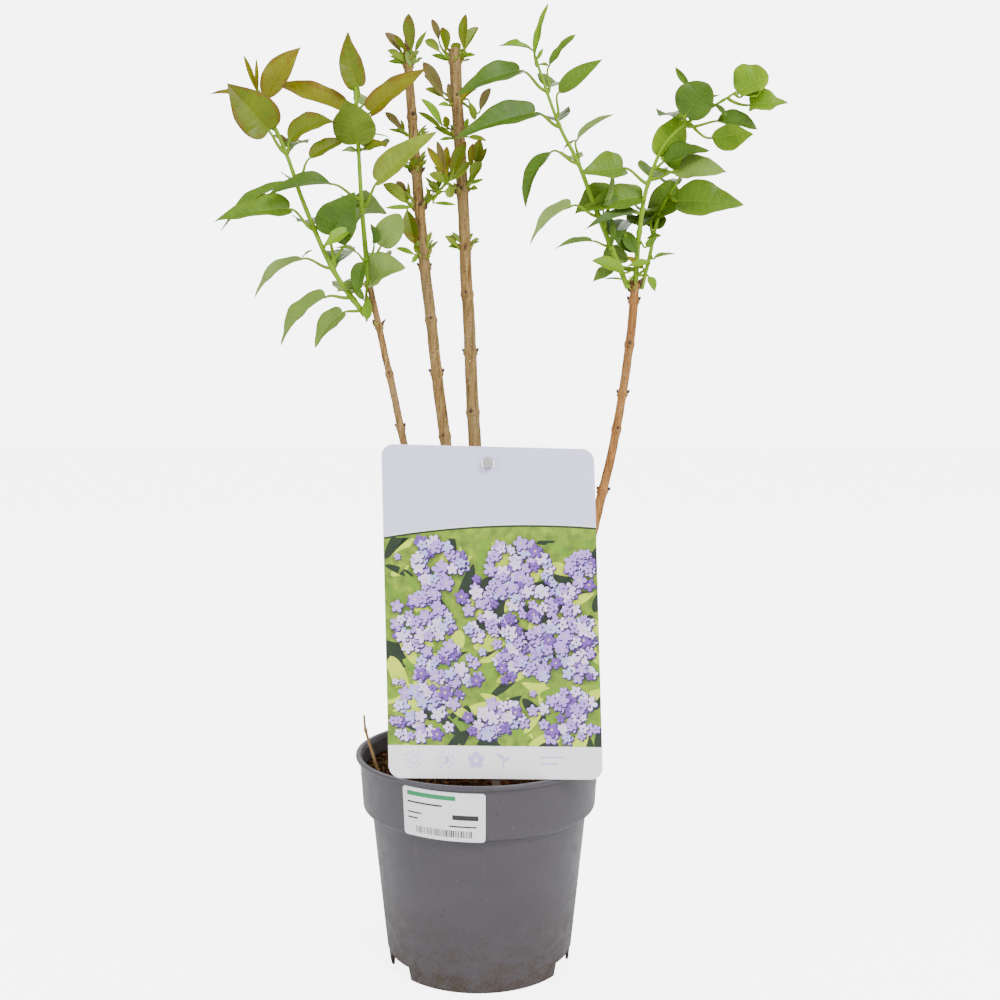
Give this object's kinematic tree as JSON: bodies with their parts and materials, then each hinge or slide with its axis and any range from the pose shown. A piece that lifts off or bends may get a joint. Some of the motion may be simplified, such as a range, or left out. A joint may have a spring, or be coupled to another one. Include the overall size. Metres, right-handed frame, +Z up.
{
  "type": "potted lilac shrub",
  "caption": "Young lilac shrub in a round grey nursery pot, with woody stems, green leafy shoots, a label card on a stick and a price sticker.",
  "frame": {"origin": "middle of the pot's flat underside, at the level it stands on", "axes": "+Z up, +X to the right of the side that carries the label card and the price sticker, -Y towards the viewer of that side"},
  "size_m": [0.3333, 0.1492, 0.572],
  "materials": {
    "pot_plastic": "mid grey moulded plastic, satin, dusty with dried compost near the foot",
    "potting_mix": "dark brown peat-free compost with coir fibres and bark chips",
    "bark": "smooth tan bark with small raised pores and ringed nodes",
    "green_shoot": "soft green this year's growth",
    "leaf": "thin satin leaf, paler and matt underneath",
    "young_leaf": "small yellow-green leaf with bronze edges",
    "card": "printed glossy plastic card",
    "stick": "pale grey moulded plastic",
    "sticker": "white coated paper",
    "dry_twig": "dry straw-brown twig"
  },
  "bodies": {
    "root": {"dry_twig": "dry_twig", "label_card": "card", "label_stick": "stick", "leaves_inner_base": "leaf", "leaves_inner_middle": "leaf", "leaves_inner_right": "leaf", "leaves_inner_top": "leaf", "leaves_inner_upper": "leaf", "leaves_left_base": "leaf", "leaves_left_heart": "leaf", "leaves_left_lower": "leaf", "leaves_left_middle": "leaf", "leaves_left_tip": "leaf", "leaves_left_upper": "leaf", "leaves_right_a_left": "leaf", "leaves_right_a_lower": "leaf", "leaves_right_a_middle": "leaf", "leaves_right_a_tip": "leaf", "leaves_right_a_upper": "leaf", "leaves_right_b_left": "leaf", "leaves_right_b_lower": "leaf", "leaves_right_b_middle": "leaf", "leaves_right_b_tip": "leaf", "leaves_right_b_upper": "leaf", "leaves_right_base": "leaf", "leaves_right_c": "leaf", "pot": "pot_plastic", "potting_mix": "potting_mix", "price_sticker": "sticker", "root_crown": "bark", "shoot_left_inner": "green_shoot", "shoot_left_outer": "green_shoot", "shoot_right_a": "green_shoot", "shoot_right_b": "green_shoot", "shoot_right_c": "green_shoot", "stem_left": "bark", "stem_mid_left": "bark", "stem_mid_right": "bark", "stem_right": "bark", "tuft_mid_left_lower": "young_leaf", "tuft_mid_left_middle": "young_leaf", "tuft_mid_left_top": "young_leaf", "tuft_mid_left_upper": "young_leaf", "tuft_mid_right_lower": "young_leaf", "tuft_mid_right_middle": "young_leaf", "tuft_mid_right_top": "young_leaf", "tuft_mid_right_upper": "young_leaf"}
  },
  "joints": []
}
